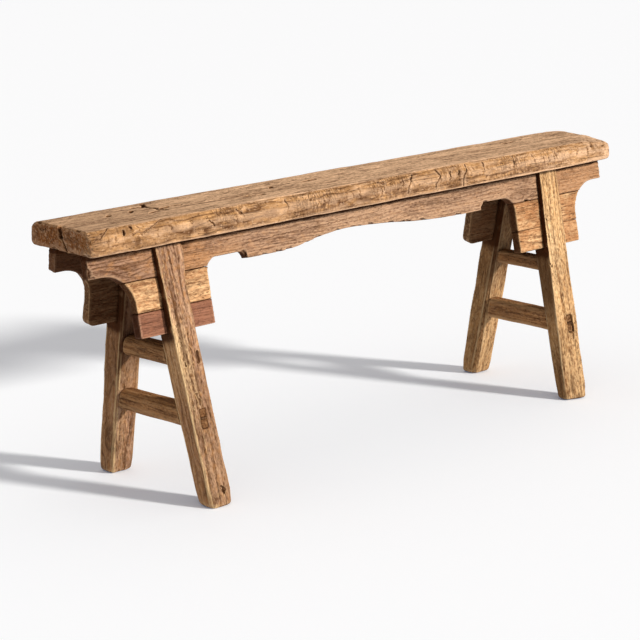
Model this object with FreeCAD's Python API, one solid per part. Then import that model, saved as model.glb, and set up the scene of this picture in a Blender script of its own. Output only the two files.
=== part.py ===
import FreeCAD, Part
import math
import os

# A long country bench: one thick elm plank carried by two pairs of splayed legs.
# Each pair is tied by two stretchers. A long apron runs under each side of the seat,
# and its shaped spandrels pass with it through slots in the heads of the legs.
# Sizes are in millimetres. X runs along the seat, the front is -Y, and the floor is Z = 0.

# Seat plank
seat_length = 1312.0
seat_width = 180.0
seat_thickness = 44.0
seat_height = 500.0
bevel_drop = 20.0            # worn upper band of the front edge, measured down from the top
bevel_run = 12.0             # the same band, measured in from the edge
bevel_bulge = 1.5            # how far the worn band swells past a flat bevel
bullnose_drop = 22.0         # rounding of the rear edge, measured down from the top
bullnose_run = 32.0          # the same rounding, measured in from the edge
under_rise = 11.0            # flatter rounding below the rear edge
under_run = 20.0
worn_end_drop = 14.0         # the right end of the top is worn down by this much at the front
worn_end_tilt = 13.0         # and by this much less at the rear
worn_end_run = 110.0
worn_end_bow = 2.0           # how far that end swells past a straight slope
front_left_corner = 6.0      # corner radii of the plank, seen from above
front_right_corner = 36.0
rear_left_corner = 12.0
rear_right_corner = 90.0

# Apron boards, with the spandrels below them in the same plane
board_thickness = 20.0
board_lean = 10.8            # degrees from upright, so the boards spread towards the floor
apron_setback = 37.25        # from the edge of the seat to the outer face of the apron below it
apron_inset = 15.0           # from the end of the seat to the end of the apron
seat_gap = 2.0               # shadow gap between the apron and the seat
apron_end_drop = 43.0        # drops are measured down the board from the underside of the seat
apron_drop = 59.5
arch_drop = 45.5
belly_drop = 42.5
patch_drop = 116.0
spandrel_drop = 159.0
cavetto_radius = 60.0        # hollow curve from the apron's end down to the spandrel
arch_radius = 26.0
arch_length = 92.0
belly_flat = 66.0            # level stretch beside each cusp of the apron
belly_peak = -60.0           # where the two gentle curves of the apron meet, left of the middle
front_spandrel_outer = 75.0  # reach of a spandrel from the middle of its leg
rear_spandrel_outer = 82.0
left_spandrel_inner = 86.0
right_spandrel_inner = 99.0
rear_corner_radius = 14.0    # worn lower corners of the rear spandrels

# Legs
leg_inset = 176.0            # from the end of the seat to the middle of the leg's head
front_left_toe_in = 16.0     # how far each foot stands in from its head, along the bench
rear_left_toe_in = 13.0
front_right_toe_in = 24.0
rear_right_toe_in = 8.0
head_width = 50.0
foot_width = 48.0
outer_cheek = 11.0           # wood left in front of the slot at the leg's head
inner_cheek = 18.0           # wood left behind the slot at the leg's head
foot_depth = 43.0
front_foot_proud = 35.0      # the foot's face stands this far out from the plane of the apron
rear_foot_proud = 17.0
leg_crown = 3.0              # swell of the leg's outer face
leg_chamfer = 4.0            # eased inner arrises
front_right_wane = 14.0      # how far the outer face falls back at the foot, towards the middle of the bench
rear_right_bevel = 11.0      # depth at the foot of the bevel on the inner face, on the same side
bevel_width = 9.0
foot_chamfer = 3.0           # worn edge round the bottom of the foot
seat_tenon_thickness = 7.0
seat_tenon_step = 1.5        # from the slot to the tenon
seat_tenon_shoulder = 7.0
seat_tenon_height = 28.0

# Stretchers
left_stretcher_width = 36.0
right_stretcher_width = 30.0
left_stretcher_shift = 3.0   # from the middle of the legs, towards the end of the bench
right_stretcher_shift = 0.0
left_stretcher_round = 14.0
right_stretcher_round = 7.0
left_lower_bottom = 130.0    # bottom edges are measured up from the floor
left_lower_height = 40.0
left_lower_rise = 7.0        # how much higher the front end of a stretcher lies than its rear end
right_lower_bottom = 129.0
right_lower_height = 41.0
right_lower_rise = 0.0
left_upper_gap = 28.0        # gaps are measured down from the foot of the spandrels
left_upper_height = 37.0
left_upper_rise = 4.0
right_upper_gap = 25.0
right_upper_height = 27.0
right_upper_rise = 0.0
tenon_width = 14.0
tenon_shoulder = 3.0
stub_tenon_length = 22.0
tenon_recess = 1.0           # worn end of a through tenon, behind the leg's face
wedge_length = 24.0
wedge_thickness = 4.0
wedge_tip = 1.2

# Bamboo pins and fits
pin_diameter = 5.0
pin_length = 26.0
fit = 0.2                    # clearance all round a tenon, a pin, a wedge or a board in its slot

# Places worked out from the sizes above
LEFT = -1
RIGHT = 1
FRONT = -1
REAR = 1
side_words = {LEFT: "left", RIGHT: "right"}
face_words = {FRONT: "front", REAR: "rear"}
underside = seat_height - seat_thickness
lean_slope = math.tan(math.radians(board_lean))
apron_y = seat_width / 2 - apron_setback
board_depth = board_thickness / math.cos(math.radians(board_lean))
apron_half = seat_length / 2 - apron_inset
head_x = seat_length / 2 - leg_inset
spandrel_foot = underside - spandrel_drop * math.cos(math.radians(board_lean))
set_back = (front_foot_proud - rear_foot_proud) / 2    # puts the origin amid the four feet
beyond = seat_length         # far enough to pass any piece

os.makedirs("parts", exist_ok=True)


def point(x, y, z):
    return FreeCAD.Vector(x, y, z)


def box(x0, x1, y0, y1, z0, z1):
    return Part.makeBox(x1 - x0, y1 - y0, z1 - z0, point(x0, y0, z0))


def line(start, end):
    return Part.LineSegment(start, end).toShape()


def arc(start, middle, end):
    return Part.Arc(start, middle, end).toShape()


def face_of(edges):
    return Part.Face(Part.Wire(Part.__sortEdges__(edges)))


def level_bend(run, rise):
    """Half way along an arc that starts out level and ends at this run and rise."""
    turn = 2 * math.atan2(rise, abs(run))
    radius = abs(run) / math.sin(turn)
    return math.copysign(radius * math.sin(turn / 2), run), radius * (1 - math.cos(turn / 2))


def prism_across(outline, x0, x1):
    """A prism along X from the (y, z) corners of its outline."""
    corners = [point(x0, y, z) for y, z in outline]
    face = Part.Face(Part.makePolygon(corners + corners[:1]))
    return face.extrude(point(x1 - x0, 0, 0))


def at_face(face, shape):
    """A shape drawn at the front of the bench, or its mirror image at the rear."""
    if face == FRONT:
        return shape
    return shape.mirror(point(0, 0, 0), point(0, 1, 0))


def save(shape, node):
    placed = shape.removeSplitter()
    placed.translate(point(0, set_back, 0))
    placed.exportStep("parts/" + node + ".step")


# Faces of a leg: their places at a height above the floor, measured from the middle of the seat
foot_proud = {FRONT: front_foot_proud, REAR: rear_foot_proud}
toe_in = {(LEFT, FRONT): front_left_toe_in, (LEFT, REAR): rear_left_toe_in,
          (RIGHT, FRONT): front_right_toe_in, (RIGHT, REAR): rear_right_toe_in}
foot_wane = {(LEFT, FRONT): 0.0, (LEFT, REAR): 0.0, (RIGHT, FRONT): front_right_wane, (RIGHT, REAR): 0.0}
foot_bevel = {(LEFT, FRONT): leg_chamfer, (LEFT, REAR): leg_chamfer,
              (RIGHT, FRONT): leg_chamfer, (RIGHT, REAR): rear_right_bevel}
foot_bevel_width = {(LEFT, FRONT): leg_chamfer, (LEFT, REAR): leg_chamfer,
                    (RIGHT, FRONT): leg_chamfer, (RIGHT, REAR): bevel_width}


def along_leg(at_floor, at_head, height):
    return at_floor + (at_head - at_floor) * height / underside


def leg_outer(face, height):
    foot = apron_y + underside * lean_slope + foot_proud[face]
    return face * along_leg(foot, apron_y + outer_cheek, height)


def leg_inner(face, height):
    foot = apron_y + underside * lean_slope + foot_proud[face] - foot_depth
    return face * along_leg(foot, apron_y - board_depth - inner_cheek, height)


def leg_middle(side, face, height):
    return side * along_leg(head_x - toe_in[side, face], head_x, height)


def leg_face(side, face, height):
    """The outer face along the middle of a leg."""
    return leg_outer(face, height) - face * along_leg(foot_wane[side, face], 0, height) / 2


# A board is drawn flat, with X along the bench, Y into the wood and Z up from the seat's
# underside, and is then tilted into its place under the front of the seat.
def tilt(shape):
    placed = shape.copy()
    placed.rotate(point(0, 0, 0), point(1, 0, 0), -board_lean)
    placed.translate(point(0, -apron_y, underside))
    return placed


def quarter_round(centre_x, centre_z, radius, toward):
    """A quarter circle from the level tangent at its top to the upright tangent at one side."""
    diagonal = radius * math.sqrt(0.5)
    return arc(point(centre_x, 0, centre_z + radius),
               point(centre_x + toward * diagonal, 0, centre_z + diagonal),
               point(centre_x + toward * radius, 0, centre_z))


def level_arc(start_x, start_z, end_x, end_z):
    """An arc that leaves its start level and bends up or down to its end."""
    half_run, half_rise = level_bend(end_x - start_x, end_z - start_z)
    return arc(point(start_x, 0, start_z),
               point(start_x + half_run, 0, start_z + half_rise),
               point(end_x, 0, end_z))


spandrel_inner = {LEFT: left_spandrel_inner, RIGHT: right_spandrel_inner}
spandrel_outer = {FRONT: front_spandrel_outer, REAR: rear_spandrel_outer}


def lower_edge(side, face):
    """The edge of a board from its end, round the spandrel and the arch, to the belly's peak."""
    leg = side * head_x
    end = side * apron_half
    outer = leg + side * spandrel_outer[face]
    inner = leg - side * spandrel_inner[side]
    hollow_x = outer + side * cavetto_radius
    hollow_z = -apron_end_drop - cavetto_radius
    arch_x = inner - side * arch_radius
    arch_z = -arch_drop - arch_radius
    cusp = inner - side * arch_length
    cusp_radius = apron_drop - arch_drop
    cusp_x = cusp + side * cusp_radius
    belly_start = cusp - side * belly_flat
    belly_middle = (belly_start + belly_peak) / 2
    belly_middle_z = -(apron_drop + belly_drop) / 2
    return [
        line(point(end, 0, 0), point(end, 0, -apron_end_drop)),
        line(point(end, 0, -apron_end_drop), point(hollow_x, 0, -apron_end_drop)),
        quarter_round(hollow_x, hollow_z, cavetto_radius, -side),
        line(point(outer, 0, hollow_z), point(outer, 0, -spandrel_drop)),
        line(point(outer, 0, -spandrel_drop), point(inner, 0, -spandrel_drop)),
        line(point(inner, 0, -spandrel_drop), point(inner, 0, arch_z)),
        quarter_round(arch_x, arch_z, arch_radius, side),
        line(point(arch_x, 0, -arch_drop), point(cusp_x, 0, -arch_drop)),
        quarter_round(cusp_x, -apron_drop, cusp_radius, -side),
        line(point(cusp, 0, -apron_drop), point(belly_start, 0, -apron_drop)),
        level_arc(belly_start, -apron_drop, belly_middle, belly_middle_z),
        level_arc(belly_peak, -belly_drop, belly_middle, belly_middle_z),
    ]


def whole_board(face):
    """An apron and its spandrels in one, before they are parted."""
    edges = [line(point(-apron_half, 0, 0), point(apron_half, 0, 0))]
    for side in (LEFT, RIGHT):
        edges += lower_edge(side, face)
    return face_of(edges).extrude(point(0, board_thickness, 0))


def band(board, side, top_drop, bottom_drop):
    """The piece of one half of a board between two drops."""
    half = box(min(0, side * beyond), max(0, side * beyond), 0, board_thickness, -bottom_drop, -top_drop)
    return board.common(half)


def pins(side, face, drop, grow):
    """Two double-ended pins across a joint of the board, one on each side of the leg."""
    places = (spandrel_outer[face] + head_width / 2, -spandrel_inner[side] - head_width / 2)
    return [Part.makeCylinder(pin_diameter / 2 + grow, pin_length + 2 * grow,
                              point(side * (head_x + place / 2), board_thickness / 2,
                                    -drop - pin_length / 2 - grow))
            for place in places]


def worn_corners(spandrel):
    """Rounds the two lower corners of a rear spandrel."""
    across = [edge for edge in spandrel.Edges
              if edge.BoundBox.ZMax < -spandrel_drop + fit and edge.BoundBox.XLength < fit]
    return spandrel.makeFillet(rear_corner_radius, across)


# Aprons, kept clear of the seat and drilled for the pins below them
boards = {face: whole_board(face) for face in (FRONT, REAR)}
trim = box(-beyond, beyond, -beyond, beyond, underside - seat_gap, underside + beyond)
for face in (FRONT, REAR):
    apron = boards[face].common(box(-beyond, beyond, 0, board_thickness, -apron_drop, 0))
    for side in (LEFT, RIGHT):
        apron = apron.cut(pins(side, face, apron_drop, fit))
    save(at_face(face, tilt(apron).cut(trim)), face_words[face] + "_apron")

# Spandrels, the patches let into the foot of the front ones, and the pins in every joint
for side in (LEFT, RIGHT):
    word = side_words[side]
    spandrel = band(boards[REAR], side, apron_drop, spandrel_drop)
    spandrel = worn_corners(spandrel.cut(pins(side, REAR, apron_drop, fit)))
    rear_pins = pins(side, REAR, apron_drop, 0)
    save(at_face(REAR, tilt(spandrel)), f"rear_{word}_spandrel")
    save(at_face(REAR, tilt(Part.makeCompound(rear_pins))), f"rear_{word}_bamboo_pins")
    upper = band(boards[FRONT], side, apron_drop, patch_drop)
    upper = upper.cut(pins(side, FRONT, apron_drop, fit) + pins(side, FRONT, patch_drop, fit))
    patch = band(boards[FRONT], side, patch_drop, spandrel_drop)
    patch = patch.cut(pins(side, FRONT, patch_drop, fit))
    front_pins = pins(side, FRONT, apron_drop, 0) + pins(side, FRONT, patch_drop, 0)
    save(tilt(upper), f"front_{word}_spandrel")
    save(tilt(patch), f"front_{word}_spandrel_patch")
    save(tilt(Part.makeCompound(front_pins)), f"front_{word}_bamboo_pins")


# Tenons on the head of a leg, one on each side of its slot
def seat_tenons(side, face, grow):
    middle = side * head_x
    half = head_width / 2 - seat_tenon_shoulder + grow
    outer = apron_y + seat_tenon_step
    inner = apron_y - board_depth - seat_tenon_step - seat_tenon_thickness
    return [at_face(face, box(middle - half, middle + half,
                              -start - seat_tenon_thickness - grow, -start + grow,
                              underside, underside + seat_tenon_height + grow))
            for start in (outer, inner)]


# Seat plank: its section, its outline seen from above, and its outline seen from the front
def rear_rounding(x, rear, level, run, rise):
    """The arc from a level face of the plank to its rear face."""
    half_run, half_rise = level_bend(run, rise)
    return arc(point(x, rear - run, level),
               point(x, rear - run + half_run, level + half_rise),
               point(x, rear, level + rise))


def seat_section():
    half = seat_width / 2
    arris = seat_height - bevel_drop
    bevel = math.hypot(bevel_run, bevel_drop)
    swell_y = half - bevel_run / 2 + bevel_bulge * bevel_drop / bevel
    swell_z = seat_height - bevel_drop / 2 + bevel_bulge * bevel_run / bevel
    x = -seat_length / 2
    return face_of([
        line(point(x, -half, underside), point(x, half - under_run, underside)),
        rear_rounding(x, half, underside, under_run, under_rise),
        line(point(x, half, underside + under_rise), point(x, half, seat_height - bullnose_drop)),
        rear_rounding(x, half, seat_height, bullnose_run, -bullnose_drop),
        line(point(x, half - bullnose_run, seat_height), point(x, bevel_run - half, seat_height)),
        arc(point(x, bevel_run - half, seat_height), point(x, -swell_y, swell_z), point(x, -half, arris)),
        line(point(x, -half, arris), point(x, -half, underside)),
    ])


def seat_outline():
    radii = {(LEFT, FRONT): front_left_corner, (RIGHT, FRONT): front_right_corner,
             (RIGHT, REAR): rear_right_corner, (LEFT, REAR): rear_left_corner}
    edges = []
    ends = []
    for (end, face), radius in radii.items():
        x = end * seat_length / 2
        y = face * seat_width / 2
        inset = radius * (1 - math.sqrt(0.5))
        on_end = point(x, y - face * radius, underside)
        on_side = point(x - end * radius, y, underside)
        edges.append(arc(on_end, point(x - end * inset, y - face * inset, underside), on_side))
        ends.append((on_end, on_side))
    front_left, front_right, rear_right, rear_left = ends
    edges.append(line(front_left[1], front_right[1]))
    edges.append(line(front_right[0], rear_right[0]))
    edges.append(line(rear_right[1], rear_left[1]))
    edges.append(line(rear_left[0], front_left[0]))
    return face_of(edges)


def seat_profile():
    end = seat_length / 2
    y = -seat_width / 2
    worn_start = end - worn_end_run
    worn_end = seat_height - worn_end_drop
    below = underside - worn_end_tilt
    return face_of([
        line(point(-end, y, below), point(end, y, below)),
        line(point(end, y, below), point(end, y, worn_end)),
        arc(point(end, y, worn_end),
            point(end - worn_end_run / 2, y, seat_height - worn_end_drop / 2 + worn_end_bow),
            point(worn_start, y, seat_height)),
        line(point(worn_start, y, seat_height), point(-end, y, seat_height)),
        line(point(-end, y, seat_height), point(-end, y, below)),
    ])


seat = seat_section().extrude(point(seat_length, 0, 0))
seat = seat.common(seat_outline().extrude(point(0, 0, seat_thickness)))
seat = seat.common(seat_profile().extrude(point(0, seat_width, worn_end_tilt)))
for side in (LEFT, RIGHT):
    for face in (FRONT, REAR):
        seat = seat.cut(seat_tenons(side, face, fit))
save(seat, "seat_plank")


# Stretchers, their tenons and the wedges that spread the through tenons
stretcher_round = {LEFT: left_stretcher_round, RIGHT: right_stretcher_round}


class Stretcher:
    def __init__(self, side, width, shift, bottom, height, rise, through):
        self.side = side
        self.bottom = bottom
        self.top = bottom + height
        self.level = bottom + height / 2
        self.rise = rise
        self.tenon_x = sum(leg_middle(side, face, self.level) for face in (FRONT, REAR)) / 2
        self.bar_x = self.tenon_x + side * shift
        self.width = width
        self.through = through

    def at_end(self, face, height):
        """A height on the stretcher, as it comes out at its front or rear end."""
        return height - face * self.rise / 2

    def span(self, reach, low, high, middle, width):
        """A bar across the bench whose ends follow a face of the legs."""
        corners = [(FRONT, low), (REAR, low), (REAR, high), (FRONT, high)]
        outline = [(reach(face, self.at_end(face, height)), self.at_end(face, height))
                   for face, height in corners]
        return prism_across(outline, middle - width / 2, middle + width / 2)

    def tenon_end(self, face, height):
        if self.through:
            return leg_face(self.side, face, height) - face * tenon_recess
        return leg_inner(face, height) + face * stub_tenon_length

    def mortise_end(self, face, height):
        if self.through:
            return leg_outer(face, height) + face * leg_crown
        return leg_inner(face, height) + face * (stub_tenon_length + fit)

    def tenon(self, reach, grow):
        low = self.bottom + tenon_shoulder - grow
        high = self.top - tenon_shoulder + grow
        return self.span(reach, low, high, self.tenon_x, tenon_width + 2 * grow)

    def wedge(self, face, grow, overshoot):
        """The wedge in a tenon, or the larger kerf that it is driven into."""
        level = self.at_end(face, self.level)
        end = self.tenon_end(face, level)
        tip = end - face * (wedge_length + grow)
        outside = end + face * overshoot
        flare = (wedge_thickness - wedge_tip) / 2 / wedge_length
        half_end = wedge_thickness / 2 + flare * overshoot + grow
        half_tip = wedge_tip / 2 + grow
        outline = [(outside, level - half_end), (outside, level + half_end),
                   (tip, level + half_tip), (tip, level - half_tip)]
        half = tenon_width / 2 + grow
        return prism_across(outline, self.tenon_x - half, self.tenon_x + half)

    def solid(self):
        bar = self.span(leg_outer, self.bottom, self.top, self.bar_x, self.width)
        long_edges = [edge for edge in bar.Edges if edge.BoundBox.YLength > seat_width / 2]
        bar = bar.makeFillet(stretcher_round[self.side], long_edges)
        bar = bar.common(self.span(leg_inner, self.bottom, self.top, self.bar_x, self.width))
        bar = bar.fuse(self.tenon(self.tenon_end, 0))
        if self.through:
            bar = bar.cut([self.wedge(face, fit, wedge_thickness) for face in (FRONT, REAR)])
        return bar


def lower_stretcher(side, width, shift, bottom, height, rise):
    return Stretcher(side, width, shift, bottom, height, rise, True)


def upper_stretcher(side, width, shift, gap, height, rise):
    return Stretcher(side, width, shift, spandrel_foot - gap - height, height, rise, False)


stretchers = {
    LEFT: {"lower": lower_stretcher(LEFT, left_stretcher_width, left_stretcher_shift,
                                    left_lower_bottom, left_lower_height, left_lower_rise),
           "upper": upper_stretcher(LEFT, left_stretcher_width, left_stretcher_shift,
                                    left_upper_gap, left_upper_height, left_upper_rise)},
    RIGHT: {"lower": lower_stretcher(RIGHT, right_stretcher_width, right_stretcher_shift,
                                     right_lower_bottom, right_lower_height, right_lower_rise),
            "upper": upper_stretcher(RIGHT, right_stretcher_width, right_stretcher_shift,
                                     right_upper_gap, right_upper_height, right_upper_rise)},
}
for side in (LEFT, RIGHT):
    for level, stretcher in stretchers[side].items():
        save(stretcher.solid(), f"{side_words[side]}_{level}_stretcher")
    for face in (FRONT, REAR):
        save(stretchers[side]["lower"].wedge(face, 0, 0), f"{face_words[face]}_{side_words[side]}_wedge")


# Legs: a tapered bar with a crowned outer face, slotted at its head and mortised for the stretchers
def leg_ring(side, face, height):
    middle = leg_middle(side, face, height)
    half = along_leg(foot_width, head_width, height) / 2
    wane = along_leg(foot_wane[side, face], 0, height)
    bevel = along_leg(foot_bevel[side, face], leg_chamfer, height)
    bevel_run = along_leg(foot_bevel_width[side, face], leg_chamfer, height)
    outer = leg_outer(face, height) - face * leg_crown
    inner = leg_inner(face, height)
    end_side = middle + side * half
    middle_side = middle - side * half
    corners = [point(end_side, outer, height),
               point(end_side, inner + face * leg_chamfer, height),
               point(end_side - side * leg_chamfer, inner, height),
               point(middle_side + side * bevel_run, inner, height),
               point(middle_side, inner + face * bevel, height),
               point(middle_side, outer - face * wane, height)]
    edges = [line(start, end) for start, end in zip(corners, corners[1:])]
    edges.append(arc(corners[-1], point(middle, leg_face(side, face, height), height), corners[0]))
    return Part.Wire(edges)


slot = tilt(box(-beyond, beyond, -fit, board_thickness + fit, -spandrel_drop, beyond))
for side in (LEFT, RIGHT):
    for face in (FRONT, REAR):
        leg = Part.makeLoft([leg_ring(side, face, 0), leg_ring(side, face, underside)], True, True)
        foot_edges = [edge for edge in leg.Edges if edge.BoundBox.ZMax < fit]
        leg = leg.makeChamfer(foot_chamfer, foot_edges)
        leg = leg.cut(at_face(face, slot))
        leg = leg.fuse(seat_tenons(side, face, 0))
        leg = leg.cut([stretcher.tenon(stretcher.mortise_end, fit) for stretcher in stretchers[side].values()])
        save(leg, f"{face_words[face]}_{side_words[side]}_leg")
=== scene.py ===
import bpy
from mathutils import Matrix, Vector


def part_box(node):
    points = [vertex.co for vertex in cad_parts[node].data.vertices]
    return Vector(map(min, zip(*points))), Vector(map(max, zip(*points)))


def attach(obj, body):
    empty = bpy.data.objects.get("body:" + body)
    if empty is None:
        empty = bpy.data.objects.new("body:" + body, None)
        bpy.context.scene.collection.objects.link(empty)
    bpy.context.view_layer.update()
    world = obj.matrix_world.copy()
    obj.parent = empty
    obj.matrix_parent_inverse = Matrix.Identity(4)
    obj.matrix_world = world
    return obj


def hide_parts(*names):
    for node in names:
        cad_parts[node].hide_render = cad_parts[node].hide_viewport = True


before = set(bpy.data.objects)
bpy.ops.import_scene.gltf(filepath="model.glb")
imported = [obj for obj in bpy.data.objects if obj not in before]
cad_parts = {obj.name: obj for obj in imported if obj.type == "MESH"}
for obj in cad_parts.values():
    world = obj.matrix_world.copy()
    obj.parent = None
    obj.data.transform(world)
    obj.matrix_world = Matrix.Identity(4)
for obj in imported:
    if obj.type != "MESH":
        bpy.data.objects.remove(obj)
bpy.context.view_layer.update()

import itertools
import math

import bmesh
import bpy
import numpy as np
from mathutils import Matrix, Vector
from mathutils.bvhtree import BVHTree

# Legs
# Four splayed bars of elm, hewn square with a swelling outer face. Each head is forked over the apron
# and the spandrel below it and tenoned blind into the seat. Arrises are rubbed pale, feet are worn round.

MM = 0.001
NOISE_TABLE = 8191
NOISE_STRIDES = np.array([1, 233, 3571])
EASE_STEP = 0.5


def smooth_step(value, low, high):
    share = np.clip((value - low) / (high - low), 0, 1)
    return share * share * (3 - 2 * share)


def noise(places, lump, seed):
    """Smooth noise from -1 to 1 at each place; lump is the size of its lumps along each axis, in mm."""
    table = np.random.default_rng(seed).uniform(-1, 1, NOISE_TABLE)
    scaled = places / (np.array(lump) * MM)
    cell = np.floor(scaled).astype(int)
    share = scaled - cell
    share = share * share * (3 - 2 * share)
    total = np.zeros(len(places))
    for corner in itertools.product((0, 1), repeat=3):
        weight = np.where(corner, share, 1 - share).prod(axis=1)
        total += weight * table[(cell + corner) @ NOISE_STRIDES % NOISE_TABLE]
    return total


# the CAD solids, on which flaws are laid and from which the seams are found
solids = {name: BVHTree.FromPolygons([vert.co for vert in solid.data.vertices],
                                    [tuple(face.vertices) for face in solid.data.polygons])
          for name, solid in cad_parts.items() if "pins" not in name}


class Timber:
    """A piece of wood on an even grid of small faces, taken from its CAD node, to be worn and marked."""

    def __init__(self, node, grid):
        self.node = node
        sawn = bmesh.new()
        sawn.from_mesh(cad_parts[node].data)
        bmesh.ops.remove_doubles(sawn, verts=sawn.verts, dist=0.001 * MM)
        mesh = bpy.data.meshes.new(node)
        sawn.to_mesh(mesh)
        sawn.free()
        self.piece = bpy.data.objects.new("old_" + node, mesh)
        bpy.context.scene.collection.objects.link(self.piece)
        even = self.piece.modifiers.new("even_grid", "REMESH")
        even.mode = "VOXEL"
        even.voxel_size = grid * MM
        graph = bpy.context.evaluated_depsgraph_get()
        self.piece.data = bpy.data.meshes.new_from_object(self.piece.evaluated_get(graph))
        self.piece.modifiers.clear()
        self.read()

    def read(self):
        mesh = self.piece.data
        self.count = len(mesh.vertices)
        places = np.empty(self.count * 3)
        mesh.vertices.foreach_get("co", places)
        self.places = places.reshape(-1, 3)
        ends = np.empty(len(mesh.edges) * 2, int)
        mesh.edges.foreach_get("vertices", ends)
        self.ends = ends.reshape(-1, 2).T
        self.neighbours = np.bincount(self.ends.ravel(), minlength=self.count)
        self.marks = {"hollow": np.zeros(self.count)}
        self.shelter = np.ones(self.count)

    def write(self):
        self.piece.data.vertices.foreach_set("co", self.places.ravel())
        self.piece.data.update()

    def normals(self):
        self.write()
        facing = np.empty(self.count * 3, np.float32)
        self.piece.data.vertex_normals.foreach_get("vector", facing)
        return facing.reshape(-1, 3).astype(float)

    def softened(self, values):
        """Each point's mean over its neighbours."""
        first, second = self.ends
        total = np.stack([np.bincount(first, column[second], self.count)
                          + np.bincount(second, column[first], self.count)
                          for column in values.T], axis=1)
        return total / self.neighbours[:, None]

    def ease(self, times, weight=1.0):
        """Rubs the edges round, more where the weight is higher."""
        share = EASE_STEP * np.broadcast_to(weight, self.count)[:, None]
        for _ in range(times):
            self.places += share * (self.softened(self.places) - self.places)

    def push(self, distance):
        """Moves the surface out along its normals by a distance in mm."""
        self.places += self.normals() * np.broadcast_to(distance, self.count)[:, None] * MM

    def near(self, path, reach):
        """The points within reach of a path's box, and the path in metres, laid on the solid."""
        path = np.array([solids[self.node].find_nearest(Vector(point) * MM)[0] for point in path])
        low = path.min(axis=0) - reach * MM
        high = path.max(axis=0) + reach * MM
        return np.flatnonzero(((self.places > low) & (self.places < high)).all(axis=1)), path

    def gap(self, chosen, path, wander, seed, facing):
        """Distance in mm, along the surface, of the chosen points from a path that wanders a little."""
        places = self.places[chosen]
        drift = [noise(places, (6, 6, 6), seed + axis) for axis in range(3)]
        places = places + wander * MM * np.stack(drift, axis=1)
        nearest = np.full(len(places), np.inf)
        for start, end in zip(path, path[1:]):
            run = end - start
            share = np.clip((places - start) @ run / (run @ run), 0, 1)
            away = places - start - share[:, None] * run
            away -= (away * facing[chosen]).sum(axis=1)[:, None] * facing[chosen]
            nearest = np.minimum(nearest, np.linalg.norm(away, axis=1))
        return nearest / MM

    def refine(self, flaws, times):
        """Splits the faces round each flaw so that its edges come out crisp."""
        for _ in range(times):
            close = np.zeros(self.count, bool)
            facing = self.normals()
            for path, width, *_ in flaws:
                chosen, run = self.near(path, 3 * width)
                close[chosen[self.gap(chosen, run, 0, 0, facing) < 1.6 * width + 1.5]] = True
            fine = bmesh.new()
            fine.from_mesh(self.piece.data)
            fine.verts.ensure_lookup_table()
            edges = [edge for edge in fine.edges if all(close[vert.index] for vert in edge.verts)]
            bmesh.ops.subdivide_edges(fine, edges=edges, cuts=1, use_grid_fill=True)
            fine.to_mesh(self.piece.data)
            fine.free()
            self.read()

    def snap(self):
        """Puts every point back on the solid, whose corners the even grid has rounded a little."""
        self.places = np.array([solids[self.node].find_nearest(place)[0] for place in self.places])

    def gouge(self, flaws, wander, seed, dark=1.0):
        """Sinks cracks, checks and pits: each flaw is a path, a half width and a depth, in mm."""
        facing = self.normals()
        for number, (path, width, depth) in enumerate(flaws):
            chosen, run = self.near(path, 2 * width + wander)
            away = self.gap(chosen, run, wander, seed + 7 * number, facing) / width
            dent = np.clip(1 - away ** 2, 0, 1)
            self.places[chosen] -= facing[chosen] * dent[:, None] * depth * MM
            # deeper flaws are painted darker: dirt with painted shade in the hollow
            shade = min(1.0, 0.4 + depth / 6) * dark * np.clip(2.5 * dent, 0, 1)
            self.marks["hollow"][chosen] = np.maximum(self.marks["hollow"][chosen], shade)

    def lay_grain(self, along, face, pith, shift):
        """Sets the wood's own axes: along the tree, across the face, and in from the face to the pith."""
        along = Vector(along).normalized()
        across = along.cross(Vector(face)).normalized()
        axes = np.array([along, across, across.cross(along)])
        middle = (self.places.min(axis=0) + self.places.max(axis=0)) / 2
        self.grain = (self.places - middle) @ axes.T + np.array([shift, *np.array(pith) * MM])
        self.marks["endgrain"] = smooth_step(np.abs(self.normals() @ axes[0]), 0.45, 0.65)

    def rub(self, seed, fibre, hewn, uneven):
        """Gives the surface raised fibres and hewn hollows along the grain, and unevenly rubbed edges."""
        worn = smooth_step(noise(self.places, (40, 40, 40), seed), -0.5, 0.6)
        self.ease(uneven, worn)
        self.push(fibre * noise(self.grain, (45, 3.5, 3.5), seed + 1)
                  + fibre * noise(self.grain, (120, 8, 8), seed + 2)
                  + hewn * noise(self.grain, (70, 24, 24), seed + 3)
                  + 0.4 * hewn * noise(self.grain, (20, 9, 9), seed + 4))

    def seam_darkening_reach(self, other):
        """How far the darkening spreads from the seam with another piece and how softly it ends, in mm."""
        pair = (self.node, other)
        if any(word in name for name in pair for word in ("wedge", "stretcher")):
            return 1.0, 1.3
        if all("apron" in name or "spandrel" in name for name in pair):
            return (0.5, 1.0) if "front_right_spandrel_patch" in pair else (1.7, 1.2)
        if "seat" in other:
            # the apron's top band gets the seat's painted shadow; other pieces get painted shade under the
            # seat
            return (13.0, 2.5) if "apron" in self.node else (9.0, 2.5)
        # legs are darkened far out beside the boards as painted shade; other seams get a thin dark joint
        return (30.0, 18.0) if "leg" in self.node else (4.0, 4.0)

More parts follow.
